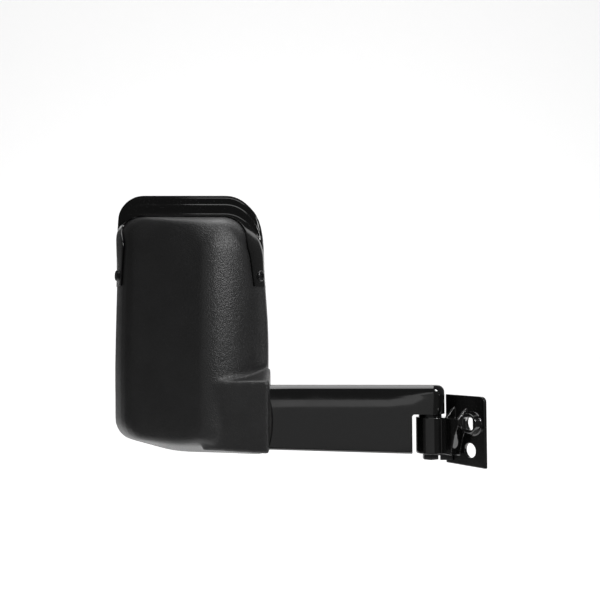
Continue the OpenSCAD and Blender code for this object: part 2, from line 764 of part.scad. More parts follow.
module socket_ring() color(GRAIN) from_axis() translate(ball_at) rotate([-90, 0, 0]) difference() {
    union() {
        translate([0, 0, ring_back]) cylinder(r = cup_r + cup_wall, h = split_y - ring_back);
        translate([0, 0, split_y - 2.4]) cylinder(r = cup_r + cup_wall + 7, h = 2.4);
    }
    sphere(r = cup_r);
    translate([0, 0, ring_back - 1]) cylinder(r = cup_r * 0.86, h = 2);
    for (p = SOCKET_SCREWS) translate([p.x, p.y, -20]) cylinder(r = 1.7, h = 30);
}

module socket_screws() color(STEEL) from_axis() translate(ball_at) rotate([-90, 0, 0])
    for (p = SOCKET_SCREWS) translate([p.x, p.y, split_y - 2.4]) mirror([0, 0, 1]) pan_screw(2.8, 1.8, 1.4, 8);

// Outline of the glass and its tray, moved in from the housing's outline
module glass_outline(inset) {
    offset(r = -inset) polygon(RIM);
}

module flat_slab(y, t) {
    translate([0, y + t, 0]) rotate([90, 0, 0]) linear_extrude(t) children();
}

module glass_holder() color(GRAIN) from_axis() difference() {
    union() {
        flat_slab(tray_y, tray_t) glass_outline(glass_gap + 1.5);
        translate([ball_at.x, ball_at.y + split_y, ball_at.z]) rotate([-90, 0, 0]) {
            cylinder(r = cup_r + cup_wall + 7, h = tray_y - ball_at.y - split_y + eps);
        }
    }
    translate(ball_at) rotate([-90, 0, 0]) {
        sphere(r = cup_r);
        for (p = SOCKET_SCREWS) translate([p.x, p.y, split_y - 1]) cylinder(r = 1.4, h = 7);
    }
}

module adhesive_pad() color(RUBBER) from_axis()
    flat_slab(tray_y + tray_t, pad_t) glass_outline(glass_gap + 8);

module mirror_glass() color([0.75, 0.8, 0.85]) from_axis()
    flat_slab(glass_y, glass_t) glass_outline(glass_gap + 1.5);

module glass_bezel() color(RUBBER) from_axis() difference() {
    flat_slab(tray_y - 1, tray_t + pad_t + glass_t + 2) glass_outline(glass_gap);
    flat_slab(tray_y, tray_t + pad_t + glass_t) glass_outline(glass_gap + 1.5);
    flat_slab(tray_y - 2, tray_t + pad_t + glass_t + 4) glass_outline(glass_gap + 1.5 + bezel_w);
}

// ----------------------------------------------------------------

rear_shell();
visor();
visor_screws();
shell_screws();
arm();
arm_gasket();
pivot_stud();
pivot_nut();
bracket();
lower_bush();
friction_ring();
disc_springs();
spring_washer();
thrust_plate();
inner_frame();
frame_screws();
ball_stud();
ball_stud_washer();
ball_stud_nut();
ball_liner();
socket_ring();
socket_screws();
glass_holder();
adhesive_pad();
mirror_glass();
glass_bezel();
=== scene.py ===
"""The visible side of a long-arm side mirror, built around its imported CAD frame.

Each operator models one piece, or one group of like pieces, in the frame's own place.
"""

import math

import bpy
from mathutils import Matrix, Vector, kdtree


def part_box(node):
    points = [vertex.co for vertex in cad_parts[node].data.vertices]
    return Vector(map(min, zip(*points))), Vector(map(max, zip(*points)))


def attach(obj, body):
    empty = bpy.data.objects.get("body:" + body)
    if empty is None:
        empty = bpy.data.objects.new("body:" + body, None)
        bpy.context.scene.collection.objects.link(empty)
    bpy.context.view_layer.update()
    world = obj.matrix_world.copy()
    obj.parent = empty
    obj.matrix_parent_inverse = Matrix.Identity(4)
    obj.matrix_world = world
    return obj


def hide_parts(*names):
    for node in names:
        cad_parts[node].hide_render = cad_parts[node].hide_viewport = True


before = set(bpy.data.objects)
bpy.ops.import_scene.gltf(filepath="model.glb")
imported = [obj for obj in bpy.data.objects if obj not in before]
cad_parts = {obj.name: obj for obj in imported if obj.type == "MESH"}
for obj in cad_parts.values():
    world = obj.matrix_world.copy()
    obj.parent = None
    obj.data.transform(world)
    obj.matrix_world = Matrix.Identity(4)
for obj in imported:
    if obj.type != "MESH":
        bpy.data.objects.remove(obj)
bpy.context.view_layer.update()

bl_info = {
    "name": "Long-arm side mirror",
    "version": (1, 0, 0),
    "blender": (4, 5, 0),
    "location": "View3D > Sidebar > Side mirror",
    "description": "Models a folding side mirror and its studio around a CAD frame",
    "category": "Add Mesh",
}

MM = 0.001
# The fold axis, in millimetres from the lower fixing hole
AXIS_X = -40.973
AXIS_Y = 25.390
# How far one ring of an extruded stack is set from the last, before each goes to its place
STEP = 0.001
UP = Vector((0.0, 0.0, 1.0))


# ---------------------------------------------------------------- sizes and colours

class MIRROR_PG_head(bpy.types.PropertyGroup):
    """Sizes of the housing"""
    left: bpy.props.FloatProperty(
        name="Far side", description="Where the housing's far side stands",
        default=-0.396473, unit="LENGTH")
    width: bpy.props.FloatProperty(
        name="Width", description="Width of the housing", default=0.174, unit="LENGTH")
    low: bpy.props.FloatProperty(
        name="Lower edge", description="Height of the housing's lower edge", default=-0.0095, unit="LENGTH")
    height: bpy.props.FloatProperty(
        name="Height", description="Height of the housing", default=0.272, unit="LENGTH")
    rim: bpy.props.FloatProperty(
        name="Rim", description="Where the housing's open rim lies", default=0.05939, unit="LENGTH")
    depth: bpy.props.FloatProperty(
        name="Depth", description="Depth from the rim to the keel", default=0.070, unit="LENGTH")
    flange: bpy.props.FloatProperty(
        name="Flange", description="Straight depth next to the rim", default=0.012, unit="LENGTH")
    wall: bpy.props.FloatProperty(
        name="Wall", description="Thickness of the housing's wall", default=0.0025, unit="LENGTH")
    voxel: bpy.props.FloatProperty(
        name="Blend size", description="Cell size with which the socket is blended into the dome",
        default=0.0018, unit="LENGTH")


class MIRROR_PG_visor(bpy.types.PropertyGroup):
    """Sizes of the rain visor"""
    rise: bpy.props.FloatProperty(
        name="Rise", description="How far the visor stands above the housing", default=0.0250, unit="LENGTH")
    reach: bpy.props.FloatProperty(
        name="Reach", description="How far its rim reaches behind the housing's rim",
        default=0.0062, unit="LENGTH")
    thickness: bpy.props.FloatProperty(
        name="Thickness", description="Thickness of the visor", default=0.0017, unit="LENGTH")
    low: bpy.props.FloatProperty(
        name="Leg ends", description="Height of the legs' ends", default=0.1796, unit="LENGTH")
    foot: bpy.props.FloatProperty(
        name="Foot", description="How far in from the outline the legs reach at their ends",
        default=0.012, unit="LENGTH")
    widening: bpy.props.FloatProperty(
        name="Widening", description="How much wider the legs are at their upper ends",
        default=0.0035, unit="LENGTH")
    drawn_back: bpy.props.FloatProperty(
        name="Drawn back", description="How much of the foot is left out along the top",
        default=0.0105, unit="LENGTH")
    clearance: bpy.props.FloatProperty(
        name="Clearance", description="Gap between the visor and the housing", default=0.0002,
        unit="LENGTH")
    screw: bpy.props.FloatProperty(
        name="Screw head", description="Diameter of the screw heads", default=0.0125, unit="LENGTH")


class MIRROR_PG_arm(bpy.types.PropertyGroup):
    """Sizes of the arm and its knuckle"""
    depth: bpy.props.FloatProperty(
        name="Depth", description="Depth of the arm", default=0.036, unit="LENGTH")
    top: bpy.props.FloatProperty(
        name="Top", description="Height of the arm's top", default=0.0691, unit="LENGTH")
    height: bpy.props.FloatProperty(
        name="Height", description="Height of the arm at the head", default=0.070, unit="LENGTH")
    drop: bpy.props.FloatProperty(
        name="Drop", description="How much taller the arm is at the hinge", default=0.0046, unit="LENGTH")
    knuckle: bpy.props.FloatProperty(
        name="Knuckle", description="Diameter of the hinge's knuckles", default=0.032, unit="LENGTH")


class MIRROR_PG_finish(bpy.types.PropertyGroup):
    """Colours of the finishes"""
    grained: bpy.props.FloatVectorProperty(
        name="Grained plastic", description="Colour of the grained housing", subtype="COLOR",
        size=3, default=(0.0105, 0.0105, 0.0107), min=0, max=1)
    satin: bpy.props.FloatVectorProperty(
        name="Satin plastic", description="Colour of the visor", subtype="COLOR",
        size=3, default=(0.006, 0.006, 0.006), min=0, max=1)
    paint: bpy.props.FloatVectorProperty(
        name="Gloss paint", description="Colour of the painted castings", subtype="COLOR",
        size=3, default=(0.004, 0.004, 0.004), min=0, max=1)
    zinc: bpy.props.FloatVectorProperty(
        name="Zinc", description="Colour of the plated steel", subtype="COLOR",
        size=3, default=(0.62, 0.63, 0.65), min=0, max=1)
    nylon: bpy.props.FloatVectorProperty(
        name="Nylon", description="Colour of the bearing plastic", subtype="COLOR",
        size=3, default=(0.72, 0.70, 0.63), min=0, max=1)


class MIRROR_PG_stage(bpy.types.PropertyGroup):
    """The studio round the mirror"""
    camera: bpy.props.FloatVectorProperty(
        name="Camera", description="Where the camera stands", subtype="TRANSLATION",
        size=3, default=(-0.1857, -0.8246, 0.1144))
    pitch: bpy.props.FloatProperty(
        name="Pitch", description="How far the camera looks up", default=math.radians(3.3), subtype="ANGLE")
    lens: bpy.props.FloatProperty(
        name="Lens", description="Focal length in millimetres", default=45.534)
    floor: bpy.props.FloatProperty(
        name="Floor", description="Height of the floor", default=-0.30, unit="LENGTH")


def sizes(name):
    return getattr(bpy.context.scene, "mirror_" + name)


# ---------------------------------------------------------------- working by hand, in code

def nothing_selected():
    if bpy.context.object and bpy.context.object.mode != "OBJECT":
        bpy.ops.object.mode_set(mode="OBJECT")
    bpy.ops.object.select_all(action="DESELECT")


def pick(obj):
    nothing_selected()
    obj.select_set(True)
    bpy.context.view_layer.objects.active = obj


def edit(obj, kind="FACE"):
    pick(obj)
    bpy.ops.object.mode_set(mode="EDIT")
    bpy.ops.mesh.select_mode(type=kind)


def leave():
    bpy.ops.object.mode_set(mode="OBJECT")


def choose(obj, kind, test):
    """Selects the faces or edges whose test is true, and leaves edit mode open on them."""
    edit(obj, kind)
    bpy.ops.mesh.select_all(action="DESELECT")
    leave()
    mesh = obj.data
    if kind == "FACE":
        for face in mesh.polygons:
            face.select = bool(test(face.center, face.normal))
    else:
        for line in mesh.edges:
            a, b = (mesh.vertices[i].co for i in line.vertices)
            line.select = bool(test(a, b))
    bpy.ops.object.mode_set(mode="EDIT")


def add_modifier(obj, kind, **values):
    modifier = obj.modifiers.new(kind.title(), kind)
    for key, value in values.items():
        setattr(modifier, key, value)
    pick(obj)
    bpy.ops.object.modifier_apply(modifier=modifier.name)


def smooth_by_angle(obj, degrees=35):
    pick(obj)
    bpy.ops.object.shade_smooth_by_angle(angle=math.radians(degrees))


def outward(obj):
    edit(obj)
    bpy.ops.mesh.select_all(action="SELECT")
    bpy.ops.mesh.normals_make_consistent(inside=False)
    leave()


def settle(obj, name, material, body, slot, *nodes):
    """Puts a piece's place in its mesh, names and finishes it, and ties it to its body."""
    pick(obj)
    bpy.ops.object.transform_apply(location=True, rotation=True, scale=True)
    obj.name = name
    obj.data.name = name
    obj.data.materials.clear()
    obj.data.materials.append(material)
    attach(obj, body)
    if nodes:
        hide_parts(*nodes)
    return obj


def place(obj, coordinates):
    for vertex, point in zip(obj.data.vertices, coordinates):
        vertex.co = point
    obj.data.update()


# ---------------------------------------------------------------- shader node groups

def group(name, inputs, outputs):
    tree = bpy.data.node_groups.new(name, "ShaderNodeTree")
    for label, kind, value in inputs:
        socket = tree.interface.new_socket(name=label, in_out="INPUT", socket_type=kind)
        if value is not None:
            socket.default_value = value
    for label, kind in outputs:
        tree.interface.new_socket(name=label, in_out="OUTPUT", socket_type=kind)
    return tree, tree.nodes.new("NodeGroupInput"), tree.nodes.new("NodeGroupOutput")


def put(tree, kind, **values):
    node = tree.nodes.new(kind)
    for key, value in values.items():
        setattr(node, key, value)
    return node


def math_node(tree, operation, a, b=None):
    node = put(tree, "ShaderNodeMath", operation=operation)
    for socket, value in zip(node.inputs, (a, b)):
        if value is None:
            continue
        if isinstance(value, (int, float)):
            socket.default_value = value
        else:
            tree.links.new(value, socket)
    return node.outputs[0]


def remap(tree, value, low, high, to_low, to_high):
    node = put(tree, "ShaderNodeMapRange", clamp=True)
    tree.links.new(value, node.inputs["Value"])
    for key, number in (("From Min", low), ("From Max", high), ("To Min", to_low), ("To Max", to_high)):
        if isinstance(number, (int, float)):
            node.inputs[key].default_value = number
        else:
            tree.links.new(number, node.inputs[key])
    return node.outputs["Result"]


def mould_grain():
    """Leather-like texture of a moulded surface: cells with softer lumps among them."""
    tree, given, result = group(
        "Mould grain",
        [("Vector", "NodeSocketVector", None), ("Cells per metre", "NodeSocketFloat", 900.0),
         ("Lumps per metre", "NodeSocketFloat", 260.0)],
        [("Height", "NodeSocketFloat"), ("Patch", "NodeSocketFloat")])
    link = tree.links.new
    cells = put(tree, "ShaderNodeTexVoronoi", feature="SMOOTH_F1")
    cells.inputs["Smoothness"].default_value = 0.35
    link(given.outputs["Vector"], cells.inputs["Vector"])
    link(given.outputs["Cells per metre"], cells.inputs["Scale"])
    lumps = put(tree, "ShaderNodeTexNoise")
    lumps.inputs["Detail"].default_value = 3.0
    link(given.outputs["Vector"], lumps.inputs["Vector"])
    link(given.outputs["Lumps per metre"], lumps.inputs["Scale"])
    patch = put(tree, "ShaderNodeTexNoise")
    patch.inputs["Scale"].default_value = 34.0
    patch.inputs["Detail"].default_value = 4.0
    link(given.outputs["Vector"], patch.inputs["Vector"])
    height = math_node(tree, "ADD", math_node(tree, "MULTIPLY", cells.outputs["Distance"], 0.7),
                       math_node(tree, "MULTIPLY", lumps.outputs["Fac"], 0.8))
    link(height, result.inputs["Height"])
    link(patch.outputs["Fac"], result.inputs["Patch"])
    return tree


def handling_marks():
    """Faint smears and specks: where hands, dust and rain have been."""
    tree, given, result = group(
        "Handling marks",
        [("Vector", "NodeSocketVector", None), ("Smears per metre", "NodeSocketFloat", 22.0),
         ("Specks per metre", "NodeSocketFloat", 700.0)],
        [("Smears", "NodeSocketFloat"), ("Specks", "NodeSocketFloat")])
    link = tree.links.new
    smear = put(tree, "ShaderNodeTexNoise")
    smear.inputs["Detail"].default_value = 5.0
    smear.inputs["Distortion"].default_value = 0.6
    link(given.outputs["Vector"], smear.inputs["Vector"])
    link(given.outputs["Smears per metre"], smear.inputs["Scale"])
    speck = put(tree, "ShaderNodeTexNoise")
    speck.inputs["Detail"].default_value = 1.0
    link(given.outputs["Vector"], speck.inputs["Vector"])
    link(given.outputs["Specks per metre"], speck.inputs["Scale"])
    link(remap(tree, smear.outputs["Fac"], 0.42, 0.72, 0.0, 1.0), result.inputs["Smears"])
    link(remap(tree, speck.outputs["Fac"], 0.68, 0.78, 0.0, 1.0), result.inputs["Specks"])
    return tree


def worn_edge():
    """Mask of outer edges, broken up by noise, where a finish is rubbed thin."""
    tree, given, result = group(
        "Worn edge",
        [("Vector", "NodeSocketVector", None), ("Threshold", "NodeSocketFloat", 0.56)],
        [("Mask", "NodeSocketFloat")])
    link = tree.links.new
    geometry = put(tree, "ShaderNodeNewGeometry")
    noise = put(tree, "ShaderNodeTexNoise")
    noise.inputs["Scale"].default_value = 180.0
    noise.inputs["Detail"].default_value = 4.0
    link(given.outputs["Vector"], noise.inputs["Vector"])
    high = math_node(tree, "ADD", given.outputs["Threshold"], 0.10)
    edge = remap(tree, geometry.outputs["Pointiness"], given.outputs["Threshold"], high, 0.0, 1.0)
    broken = math_node(tree, "MULTIPLY", edge, remap(tree, noise.outputs["Fac"], 0.40, 0.66, 0.0, 1.0))
    link(broken, result.inputs["Mask"])
    return tree


GROUPS = {}


def shared(name):
    """A shared node group, built once."""
    makers = {"grain": mould_grain, "marks": handling_marks, "edge": worn_edge}
    if name not in GROUPS:
        GROUPS[name] = makers[name]()
    return GROUPS[name]


class Finish:
    """A material with one principled shader, and short ways to place nodes in it."""

    def __init__(self, name, colour, roughness, metallic=0.0, **sockets):
        self.material = bpy.data.materials.new(name)
        self.material.use_nodes = True
        self.tree = self.material.node_tree
        self.shader = self.tree.nodes["Principled BSDF"]
        self.shader.inputs["Base Color"].default_value = (*colour, 1.0)
        self.shader.inputs["Roughness"].default_value = roughness
        self.shader.inputs["Metallic"].default_value = metallic
        for label, value in sockets.items():
            self.shader.inputs[label.replace("_", " ")].default_value = value
        self.place = put(self.tree, "ShaderNodeTexCoord").outputs["Object"]
        self.colour = colour
        self.material.diffuse_color = (*colour, 1.0)

    def use(self, name, **values):
        node = put(self.tree, "ShaderNodeGroup", node_tree=shared(name))
        self.tree.links.new(self.place, node.inputs["Vector"])
        for label, value in values.items():
            node.inputs[label.replace("_", " ")].default_value = value
        return node

    def noise(self, scale, detail=3.0, stretch=None):
        source = self.place
        if stretch:
            mapping = put(self.tree, "ShaderNodeMapping")
            mapping.inputs["Scale"].default_value = stretch
            self.tree.links.new(source, mapping.inputs["Vector"])
            source = mapping.outputs["Vector"]
        node = put(self.tree, "ShaderNodeTexNoise")
        node.inputs["Scale"].default_value = scale
        node.inputs["Detail"].default_value = detail
        self.tree.links.new(source, node.inputs["Vector"])
        return node.outputs["Fac"]

    def bump(self, height, distance, strength=1.0):
        node = put(self.tree, "ShaderNodeBump")
        node.inputs["Strength"].default_value = strength
        node.inputs["Distance"].default_value = distance
        self.tree.links.new(height, node.inputs["Height"])
        self.tree.links.new(node.outputs["Normal"], self.shader.inputs["Normal"])

    def mix(self, mask, other, over=None):
        node = put(self.tree, "ShaderNodeMix", data_type="RGBA")
        node.inputs["A"].default_value = (*self.colour, 1.0)
        if over is not None:
            self.tree.links.new(over, node.inputs["A"])
        node.inputs["B"].default_value = (*other, 1.0)
        self.tree.links.new(mask, node.inputs["Factor"])
        return node.outputs["Result"]

    def colour_from(self, value):
        self.tree.links.new(value, self.shader.inputs["Base Color"])

    def roughness_from(self, value, low, high):
        self.tree.links.new(remap(self.tree, value, 0.0, 1.0, low, high), self.shader.inputs["Roughness"])


def grained_plastic():
    finish = Finish("Grained plastic", sizes("finish").grained, 0.46, Specular_IOR_Level=0.5)
    grain = finish.use("grain")
    marks = finish.use("marks")
    grey = finish.mix(grain.outputs["Patch"], tuple(c * 1.5 + 0.002 for c in finish.colour))
    dusty = finish.mix(math_node(finish.tree, "MULTIPLY", marks.outputs["Specks"], 0.35),
                       (0.06, 0.06, 0.06), over=grey)
    finish.colour_from(dusty)
    finish.roughness_from(grain.outputs["Patch"], 0.32, 0.44)
    finish.bump(grain.outputs["Height"], 0.0004, 0.8)
    return finish.material


def satin_plastic():
    finish = Finish("Satin plastic", sizes("finish").satin, 0.14, Specular_IOR_Level=0.32)
    marks = finish.use("marks", Smears_per_metre=30.0)
    finish.colour_from(finish.mix(marks.outputs["Specks"], (0.03, 0.03, 0.03)))
    finish.roughness_from(marks.outputs["Smears"], 0.10, 0.18)
    finish.bump(finish.noise(420.0, 2.0), 0.00004, 0.5)
    return finish.material


def gloss_paint():
    finish = Finish("Gloss paint", sizes("finish").paint, 0.12, Specular_IOR_Level=0.5, Coat_Weight=0.6,
                    Coat_Roughness=0.05)
    marks = finish.use("marks", Smears_per_metre=16.0)
    edge = finish.use("edge", Threshold=0.60)
    worn = finish.mix(math_node(finish.tree, "MULTIPLY", edge.outputs["Mask"], 0.6), (0.05, 0.05, 0.05))
    finish.colour_from(worn)
    finish.roughness_from(marks.outputs["Smears"], 0.10, 0.20)
    peel = math_node(finish.tree, "ADD", finish.noise(95.0, 2.0),
                     math_node(finish.tree, "MULTIPLY", finish.noise(600.0, 1.0), 0.18))
    finish.bump(peel, 0.00012, 0.35)
    return finish.material


def black_steel():
    finish = Finish("Blackened steel", (0.012, 0.012, 0.013), 0.34, metallic=0.2)
    edge = finish.use("edge", Threshold=0.55)
    marks = finish.use("marks")
    finish.colour_from(finish.mix(edge.outputs["Mask"], (0.11, 0.11, 0.11)))
    finish.roughness_from(marks.outputs["Smears"], 0.26, 0.46)
    finish.bump(finish.noise(900.0, 3.0), 0.00004, 0.4)
    return finish.material


def zinc_steel():
    finish = Finish("Zinc-plated steel", sizes("finish").zinc, 0.32, metallic=1.0)
    marks = finish.use("marks", Smears_per_metre=60.0)
    spangle = finish.mix(finish.noise(260.0, 2.0), (0.50, 0.50, 0.47))
    finish.colour_from(finish.mix(marks.outputs["Specks"], (0.30, 0.28, 0.24), over=spangle))
    finish.roughness_from(marks.outputs["Smears"], 0.24, 0.42)
    finish.bump(finish.noise(300.0, 4.0, stretch=(1.0, 1.0, 12.0)), 0.00003, 0.5)
    return finish.material


def soft_rubber():
    finish = Finish("Soft rubber", (0.010, 0.010, 0.010), 0.72)
    grain = finish.use("grain", Cells_per_metre=1800.0, Lumps_per_metre=500.0)
    finish.colour_from(finish.mix(grain.outputs["Patch"], (0.022, 0.021, 0.020)))
    finish.roughness_from(grain.outputs["Patch"], 0.62, 0.84)
    finish.bump(grain.outputs["Height"], 0.0001, 0.4)
    return finish.material


def foam():
    finish = Finish("Foam tape", (0.025, 0.025, 0.027), 0.92)
    grain = finish.use("grain", Cells_per_metre=2600.0, Lumps_per_metre=900.0)
    finish.colour_from(finish.mix(grain.outputs["Height"], (0.05, 0.05, 0.05)))
    finish.bump(grain.outputs["Height"], 0.0003, 0.8)
    return finish.material


def bearing_nylon():
    finish = Finish("Bearing nylon", sizes("finish").nylon, 0.42, Subsurface_Weight=0.06,
                    Subsurface_Scale=0.002)
    marks = finish.use("marks", Smears_per_metre=90.0)
    finish.colour_from(finish.mix(marks.outputs["Smears"], (0.60, 0.57, 0.49)))
    finish.roughness_from(marks.outputs["Smears"], 0.34, 0.52)
    finish.bump(finish.noise(800.0, 2.0), 0.00003, 0.4)
    return finish.material


def silvered_glass():
    finish = Finish("Silvered glass", (0.86, 0.88, 0.89), 0.02, metallic=1.0)
    marks = finish.use("marks", Smears_per_metre=14.0)
    finish.colour_from(finish.mix(marks.outputs["Specks"], (0.74, 0.75, 0.75)))
    finish.roughness_from(marks.outputs["Smears"], 0.012, 0.05)
    return finish.material


MATERIALS = {}


def material(name):
    makers = {
        "grained": grained_plastic, "satin": satin_plastic, "paint": gloss_paint,
        "black": black_steel, "zinc": zinc_steel, "rubber": soft_rubber, "foam": foam,
        "nylon": bearing_nylon, "glass": silvered_glass,
    }
    if name not in MATERIALS:
        MATERIALS[name] = makers[name]()
    return MATERIALS[name]


# ---------------------------------------------------------------- shape of the housing

def smooth_min(a, b, k):
    h = max(0.0, min(1.0, 0.5 + (b - a) / (2 * k)))
    return b * (1 - h) + a * h - k * h * (1 - h)


class Head:
    """The housing's shape in millimetres: its outline, and how deep it is inside that."""

    def __init__(self):
        size = sizes("head")
        self.left = size.left / MM
        self.right = (size.left + size.width) / MM
        self.low = size.low / MM
        self.top = (size.low + size.height) / MM
        self.rim = size.rim / MM
        self.flange = size.flange / MM
        self.depth = size.depth / MM
        self.keel_x = self.right - 69
        self.keel_low = self.low + 34
        self.keel_high = self.top - 47
        half_up = self.low + 0.5 * (self.top - self.low)
        self.corners = [
            (self.left, self.top, 28, 10),
            (self.left - 1.3, self.low + 0.37 * (self.top - self.low), 700, 4),
            (self.left, self.low + 20, 25, 10),
            (self.left + 68, self.low + 1.5, 130, 6),
            (self.right, self.low - 2, 8, 5),
            (self.right + 0.5, half_up, 700, 4),
            (self.right - 7.5, self.top - 26, 62, 10),
            (self.right - 38, self.top, 34, 10),
        ]

    def arc(self, a, b, c):
        p = Vector(b[:2])
        u = (Vector(a[:2]) - p).normalized()
        v = (Vector(c[:2]) - p).normalized()
        half = math.acos(u.dot(v)) / 2
        centre = p + (u + v).normalized() * b[2] / math.sin(half)
        start = p + u * b[2] / math.tan(half) - centre
        turn = -math.copysign(math.pi - 2 * half, u.x * v.y - u.y * v.x)
        points = []
        for i in range(b[3] + 1):
            t = turn * i / b[3]
            points.append(centre + Vector((start.x * math.cos(t) - start.y * math.sin(t),
                                           start.x * math.sin(t) + start.y * math.cos(t))))
        return points

    def outline(self, spacing=0.0):
        """The outline as points, counter-clockwise seen from the front, evenly spaced if asked."""
        points = []
        n = len(self.corners)
        for i in range(n):
            points += self.arc(self.corners[i - 1], self.corners[i], self.corners[(i + 1) % n])
        if not spacing:
            return points
        return evenly(points + [points[0]], spacing)[:-1]

    def keel(self, p):
        return Vector((self.keel_x, max(self.keel_low, min(self.keel_high, p.y))))

    def to_keel(self, p):
        return (self.keel(p) - p).normalized()

    def slope(self, u):
        return u.x * u.x * (2.0 if u.x > 0 else 2.6) + u.y * u.y * (4.0 if u.y < 0 else 3.4)

    def fall(self, u, g):
        across = 0.26 * g if u.x > 0 else 0.04 * g + 0.0105 * g * g
        return u.x * u.x * across + u.y * u.y * (0.1 * g + 0.006 * g * g)

    def behind_flange(self, p, d):
        u = self.to_keel(p)
        reach = (self.keel(p) - p).length
        full = self.depth - self.flange
        return max(0.0, smooth_min(self.slope(u) * d, full - self.fall(u, reach - d), 16.0))

    def point(self, p, share):
        d = share * (self.keel(p) - p).length
        q = p + self.to_keel(p) * d
        return Vector((q.x, self.rim - self.flange - self.behind_flange(p, d), q.y))

    def depth_inside(self, q):
        """Depth behind the flange at a point inside the outline."""
        k = self.keel(q)
        ray = (q - k).normalized()
        outline = self.outline()
        far = 0.0
        for a, b in zip(outline, outline[1:] + outline[:1]):
            side = b - a
            cross = ray.x * side.y - ray.y * side.x
            if abs(cross) < 1e-9:
                continue
            t = ((a.x - k.x) * side.y - (a.y - k.y) * side.x) / cross
            s = ((a.x - k.x) * ray.y - (a.y - k.y) * ray.x) / cross
            if t > 0 and -1e-6 <= s <= 1 + 1e-6:
                far = max(far, t)
        return self.behind_flange(k + ray * far, max(0.0, far - (q - k).length))


def by_ring(piece, rings, axis):
    """Where each vertex of a stack of extruded rings belongs: which ring, and which point in it."""
    tree = kdtree.KDTree(len(rings[0]))
    for i, point in enumerate(rings[0]):
        flat = point * MM
        flat[axis] = 0.0
        tree.insert(flat, i)
    tree.balance()
    places = []
    for vertex in piece.data.vertices:
        flat = vertex.co.copy()
        level = round((rings[0][0][axis] * MM - flat[axis]) / STEP)
        flat[axis] = 0.0
        places.append(rings[level][tree.find(flat)[1]] * MM)
    return places


def evenly(points, spacing):
    """Points at even distances along a polyline, with its first and last point kept."""
    lengths = [0.0]
    for a, b in zip(points, points[1:]):
        lengths.append(lengths[-1] + (b - a).length)
    count = max(2, round(lengths[-1] / spacing))
    result = []
    k = 0
    for i in range(count + 1):
        s = lengths[-1] * i / count
        while k < len(points) - 2 and lengths[k + 1] < s:
            k += 1
        span = lengths[k + 1] - lengths[k]
        t = (s - lengths[k]) / span if span > 1e-9 else 0.0
        result.append(points[k].lerp(points[k + 1], t))
    return result


class MIRROR_OT_housing(bpy.types.Operator):
    """Models the grained housing with its moulded socket for the arm"""
    bl_idname = "mirror.housing"
    bl_label = "Housing"

    RINGS = (0.0, 0.03, 0.07, 0.12, 0.18, 0.25, 0.33, 0.42, 0.52, 0.64, 0.77, 0.90, 0.98)
    OVERHANG = 6.0
    SMOOTHING = 10
    SLOT_WIDTH = 16.0
    SLOT_FROM_SIDE = 60.0

    def execute(self, context):
        head = Head()
        rim = head.outline(spacing=4.0)
        dome = self.dome(head, rim)
        socket = self.socket(head)
        pick(dome)
        socket.select_set(True)
        bpy.ops.object.join()
        dome.data.remesh_voxel_size = sizes("head").voxel
        dome.data.remesh_voxel_adaptivity = 0.0
        bpy.ops.object.voxel_remesh()
        edit(dome, "VERT")
        bpy.ops.mesh.select_all(action="SELECT")
        bpy.ops.mesh.vertices_smooth(factor=0.5, repeat=self.SMOOTHING)
        bpy.ops.mesh.bisect(plane_co=(0, head.rim * MM, 0), plane_no=(0, 1, 0), clear_outer=True)
        leave()
        add_modifier(dome, "SOLIDIFY", thickness=sizes("head").wall, offset=-1.0, use_even_offset=False)
        self.drain(dome, head)
        smooth_by_angle(dome, 50)
        settle(dome, "housing", material("grained"), "arm", "grained_plastic", "rear_shell")
        return {"FINISHED"}

    def dome(self, head, rim):
        n = len(rim)
        bpy.ops.mesh.primitive_circle_add(vertices=n, radius=0.1, fill_type="NOTHING")
        dome = bpy.context.object
        rings = [[Vector((p.x, head.rim + self.OVERHANG, p.y)) for p in rim]]
        rings += [[head.point(p, share) for p in rim] for share in self.RINGS]
        place(dome, [q * MM for q in rings[0]])
        edit(dome, "EDGE")
        bpy.ops.mesh.select_all(action="SELECT")
        bpy.ops.mesh.edge_face_add()
        for _ in rings[1:]:
            bpy.ops.mesh.extrude_region_move(TRANSFORM_OT_translate={"value": (0, -STEP, 0)})
        leave()
        place(dome, by_ring(dome, rings, 1))
        outward(dome)
        return dome

    def socket(self, head):
        """The block that takes the arm: its front runs out to the keel and its top rises to the back."""
        right, left = AXIS_X - 178.0, head.keel_x + 0.6
        front, back = AXIS_Y - 26.0, AXIS_Y + 18.0
        keel = head.rim - head.depth + 0.3
        low, high, rise, tuck, lift = -4.3, 74.0, 13.5, 6.5, 4.6
        bpy.ops.mesh.primitive_cube_add(size=1.0)
        block = bpy.context.object
        corners = []
        for vertex in block.data.vertices:
            near, behind, up = vertex.co.x > 0, vertex.co.y > 0, vertex.co.z > 0
            y = back if behind else (front if near else keel)
            if not (behind or near or up):
                y += tuck
            z = (high + (rise if behind else 0)) if up else (low if near else low + lift)
            corners.append(Vector((right if near else left, y, z)) * MM)
        place(block, corners)
        edit(block, "EDGE")
        bpy.ops.mesh.select_all(action="SELECT")
        bpy.ops.mesh.subdivide(number_cuts=6)
        leave()
        outward(block)
        return block

    def drain(self, dome, head):
        """Cuts the drain slot out of the lower edge."""
        bpy.ops.mesh.primitive_cube_add(
            size=self.SLOT_WIDTH * MM,
            location=((head.left + self.SLOT_FROM_SIDE) * MM, AXIS_Y * MM, (head.low - 1.5) * MM))
        cutter = bpy.context.object
        edit(cutter, "EDGE")
        bpy.ops.mesh.select_all(action="SELECT")
        bpy.ops.mesh.bevel(offset=2 * MM, segments=3, affect="EDGES")
        leave()
        add_modifier(dome, "BOOLEAN", operation="DIFFERENCE", object=cutter, solver="EXACT")
        bpy.data.objects.remove(cutter)


# ---------------------------------------------------------------- visor

